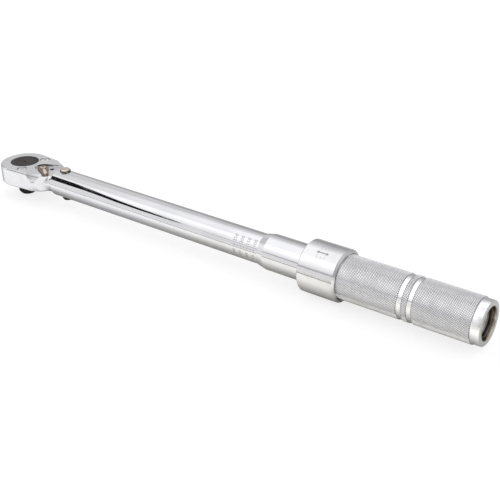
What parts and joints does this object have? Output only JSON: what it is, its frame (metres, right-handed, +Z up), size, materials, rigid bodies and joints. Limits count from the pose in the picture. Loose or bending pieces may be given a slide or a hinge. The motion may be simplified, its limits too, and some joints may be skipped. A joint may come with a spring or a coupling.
{
  "type": "torque wrench",
  "caption": "Click-type torque wrench with a square drive, reversible pear-shaped ratchet head, long chrome tube, sliding lock ring and knurled handle that turns to set the torque.",
  "frame": {"origin": "centre of the square drive's end face", "axes": "+X along the tube from the drive to the handle, +Z up through the head to the side with the reversing lever, +Y completes a right-handed frame; the tube's axis is 22 mm above the origin"},
  "size_m": [0.4946, 0.0448, 0.043],
  "materials": {
    "polished_chrome": "bright polished chrome plate",
    "satin_chrome": "satin chrome plate on a forging",
    "knurled_chrome": "chrome plate over fine diamond knurling",
    "black_oxide": "black oxide steel",
    "browned_steel": "dark brown oxide steel, machined face",
    "nickel": "nickel plate, warm",
    "bare_steel": "ground steel, oiled",
    "spring_steel": "oil-tempered spring wire",
    "bearing_steel": "polished bearing steel"
  },
  "bodies": {
    "tube": {"wrench_tube": "polished_chrome", "load_nut": "bare_steel", "nut_pins": "bare_steel", "pivot_pin": "nickel", "pivot_clips": "black_oxide", "main_spring": "spring_steel"},
    "head": {"ratchet_head": "satin_chrome", "cover_plate": "satin_chrome", "cover_screws": "nickel", "pawl_pin": "bare_steel", "detent_seats": "black_oxide"},
    "drive": {"drive_gear": "browned_steel", "detent_spring": "spring_steel"},
    "drive_ball": {"detent_ball": "bearing_steel"},
    "lever": {"reversing_lever": "nickel", "lever_screw": "black_oxide", "pawl_spring": "spring_steel"},
    "lever_plunger": {"pawl_plunger": "bare_steel"},
    "pawl": {"pawl": "bare_steel"},
    "block": {"tilt_block": "bare_steel"},
    "plunger": {"thrust_plunger": "bare_steel"},
    "carrier": {"spring_seat": "bare_steel", "thrust_ball": "bearing_steel"},
    "handle": {"thimble": "polished_chrome", "knurled_grip": "knurled_chrome", "load_screw": "bare_steel", "calibration_screw": "black_oxide", "end_plug": "bare_steel", "end_clip": "black_oxide", "ring_clip": "black_oxide", "lock_spring": "spring_steel"},
    "ring": {"lock_ring": "polished_chrome"},
    "ball_1": {"lock_ball_1": "bearing_steel"},
    "ball_2": {"lock_ball_2": "bearing_steel"},
    "ball_3": {"lock_ball_3": "bearing_steel"}
  },
  "joints": [
    {"name": "head_click", "type": "hinge", "parent": "tube", "child": "head", "pos_m": [0.056, 0, 0.022], "axis": [0, 0, 1], "range_deg": [-2.5, 2.5], "stiffness_Nm_per_rad": 20},
    {"name": "gear_turn", "type": "hinge", "parent": "head", "child": "drive", "pos_m": [0, 0, 0.022], "axis": [0, 0, 1], "continuous": true},
    {"name": "drive_ball_press", "type": "slide", "parent": "drive", "child": "drive_ball", "axis": [1, 0, 0], "range_m": [0, 0.00075], "stiffness_N_per_m": 300, "deforming": ["detent_spring"]},
    {"name": "lever_turn", "type": "hinge", "parent": "head", "child": "lever", "pos_m": [0.0252, 0, 0.022], "axis": [0, 0, 1], "range_deg": [0, 68]},
    {"name": "plunger_press", "type": "slide", "parent": "lever", "child": "lever_plunger", "axis": [0.829, -0.5592, 0], "range_m": [0, 0.0008], "stiffness_N_per_m": 200, "deforming": ["pawl_spring"]},
    {"name": "pawl_rock", "type": "hinge", "parent": "head", "child": "pawl", "pos_m": [0.0179, 0, 0.022], "axis": [0, 0, 1], "range_deg": [-16.01, 0]},
    {"name": "thrust_recoil", "type": "slide", "parent": "tube", "child": "plunger", "axis": [1, 0, 0], "range_m": [0, 0.0008], "stiffness_N_per_m": 4000, "deforming": ["main_spring"]},
    {"name": "block_tilt", "type": "hinge", "parent": "plunger", "child": "block", "pos_m": [0.158, 0, 0.022], "axis": [0, 0, 1], "range_deg": [-26.6, 26.6]},
    {"name": "handle_travel", "type": "slide", "parent": "tube", "child": "carrier", "axis": [-1, 0, 0], "range_m": [0, 0.02795], "deforming": ["main_spring"]},
    {"name": "handle_turn", "type": "hinge", "parent": "carrier", "child": "handle", "pos_m": [0.412, 0, 0.022], "axis": [-1, 0, 0], "range_deg": [0, 3960]},
    {"name": "ring_slide", "type": "slide", "parent": "handle", "child": "ring", "axis": [1, 0, 0], "range_m": [0, 0.005], "stiffness_N_per_m": 800, "springref_m": -0.003, "deforming": ["lock_spring"]},
    {"name": "ball_1_release", "type": "slide", "parent": "handle", "child": "ball_1", "axis": [0, 0, 1], "range_m": [0, 0.00101]},
    {"name": "ball_2_release", "type": "slide", "parent": "handle", "child": "ball_2", "axis": [0, 0.866, -0.5], "range_m": [0, 0.00101]},
    {"name": "ball_3_release", "type": "slide", "parent": "handle", "child": "ball_3", "axis": [0, -0.866, -0.5], "range_m": [0, 0.00101]}
  ],
  "couplings": [
    {"joint": "pawl_rock", "follows": "lever_turn", "ratio": -0.23529},
    {"joint": "block_tilt", "follows": "head_click", "ratio": -10.6},
    {"joint": "handle_travel", "follows": "handle_turn", "m_per_rad": 0.00040425},
    {"joint": "ball_1_release", "follows": "ring_slide", "ratio": 0.2},
    {"joint": "ball_2_release", "follows": "ring_slide", "ratio": 0.2},
    {"joint": "ball_3_release", "follows": "ring_slide", "ratio": 0.2}
  ]
}
